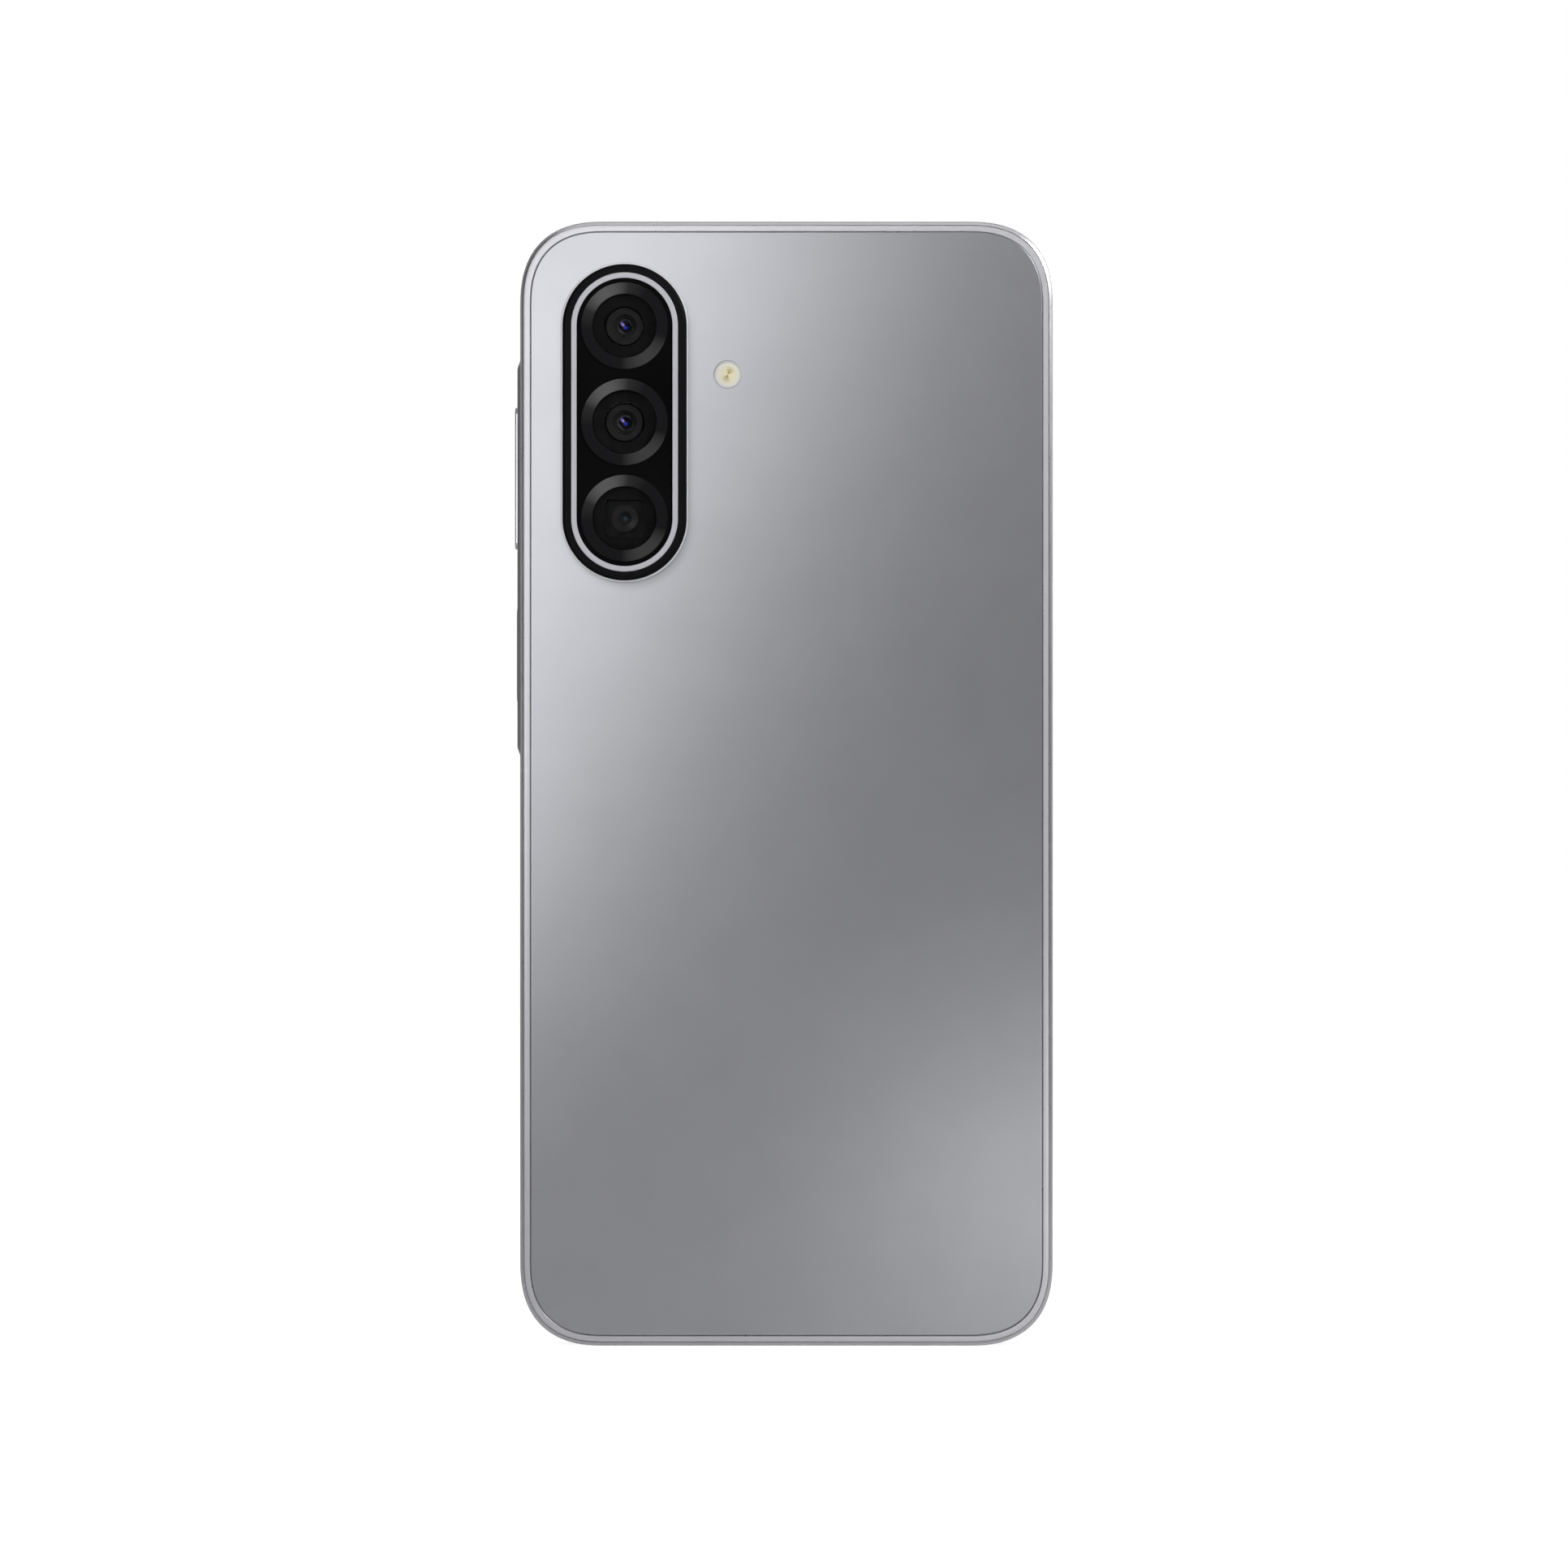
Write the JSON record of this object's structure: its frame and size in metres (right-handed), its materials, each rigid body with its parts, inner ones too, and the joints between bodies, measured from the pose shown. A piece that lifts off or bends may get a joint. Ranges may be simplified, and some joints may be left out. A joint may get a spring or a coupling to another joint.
{
  "type": "smartphone",
  "caption": "Slim flat-sided smartphone standing on its bottom edge, with a pill-shaped rear camera module, side keys, a card tray and its inner parts.",
  "frame": {"origin": "middle of the flat bottom edge, half way through the body's thickness", "axes": "+Z from the bottom edge to the top edge, -Y out of the back cover, +Y out of the display, +X to the right seen from the back"},
  "size_m": [0.0787, 0.0084, 0.1644],
  "materials": {
    "frame_paint": "satin silver paint on a moulded frame",
    "cover_paint": "satin cool-grey metallic back cover",
    "display_glass": "polished cover glass over a dark panel",
    "panel_black": "dark display panel, switched off",
    "camera_glass": "polished black glass",
    "camera_black": "gloss black anodised",
    "trim_silver": "satin silver",
    "lens_ring": "dark, turned in fine circles",
    "sensor_pad": "smooth lacquer",
    "flash_diffuser": "clear moulded diffuser over warm phosphor",
    "steel": "bright sheet",
    "die_cast": "bead-blasted casting",
    "board": "green solder mask",
    "chip": "moulded black",
    "flex_circuit": "amber polyimide",
    "battery_pouch": "dark wrapped foil pouch",
    "plastic_black": "fine moulded grain",
    "card_plastic": "white card with gold contacts",
    "rubber_black": "soft black",
    "mesh_black": "fine woven acoustic mesh",
    "copper": "bare copper"
  },
  "bodies": {
    "phone": {"side_frame": "frame_paint", "back_cover": "cover_paint", "cover_adhesive": "rubber_black", "front_glass": "display_glass", "display_gasket": "rubber_black", "display_panel": "panel_black", "mid_plate": "die_cast", "camera_base": "camera_black", "camera_trim_ring": "trim_silver", "camera_window": "camera_glass", "upper_lens_ring": "lens_ring", "middle_lens_ring": "lens_ring", "lower_lens_ring": "lens_ring", "wide_camera": "plastic_black", "main_camera_housing": "steel", "main_camera_sensor": "board", "macro_camera": "plastic_black", "flash_lens": "flash_diffuser", "flash_led": "flash_diffuser", "front_camera": "plastic_black", "key_flex": "flex_circuit", "key_bracket": "steel", "sim_reader": "steel", "usb_shell": "steel", "usb_tongue": "plastic_black", "usb_seal": "rubber_black", "loudspeaker_box": "plastic_black", "loudspeaker_driver": "steel", "speaker_mesh": "mesh_black", "bottom_microphone": "steel", "earpiece": "steel", "earpiece_mesh": "mesh_black", "motor_case": "steel", "main_board": "board", "sub_board": "board", "processor_shield": "steel", "radio_shield": "steel", "processor_chip": "chip", "memory_chip": "chip", "main_flex": "flex_circuit", "display_flex": "flex_circuit", "antenna_cable": "rubber_black", "battery": "battery_pouch", "upper_bracket": "plastic_black", "lower_bracket": "plastic_black", "nfc_antenna": "copper", "screw_1": "steel", "screw_2": "steel", "screw_3": "steel", "screw_4": "steel", "screw_5": "steel", "screw_6": "steel"},
    "volume_key": {"volume_key": "frame_paint"},
    "side_key": {"side_key": "frame_paint", "fingerprint_sensor": "sensor_pad"},
    "card_tray": {"sim_tray": "frame_paint", "nano_sim_card": "card_plastic", "memory_card": "plastic_black"},
    "motor_rotor": {"motor_rotor": "copper"},
    "focus_carrier": {"main_camera_lens": "plastic_black"}
  },
  "joints": [
    {"name": "volume_rock", "type": "hinge", "parent": "phone", "child": "volume_key", "pos_m": [-0.03612, 0, 0.127], "axis": [0, 1, 0], "range_deg": [-1.2, 1.2], "stiffness_Nm_per_rad": 0.6},
    {"name": "side_press", "type": "slide", "parent": "phone", "child": "side_key", "axis": [1, 0, 0], "range_m": [0, 0.00025], "stiffness_N_per_m": 4000},
    {"name": "tray_slide", "type": "slide", "parent": "phone", "child": "card_tray", "axis": [1, 0, 0], "range_m": [0, 0.024]},
    {"name": "motor_spin", "type": "hinge", "parent": "phone", "child": "motor_rotor", "pos_m": [0.0284, 0.00005, 0.0152], "axis": [0, 1, 0], "continuous": true},
    {"name": "focus_slide", "type": "slide", "parent": "phone", "child": "focus_carrier", "axis": [0, -1, 0], "range_m": [0, 0.00025], "stiffness_N_per_m": 60}
  ]
}
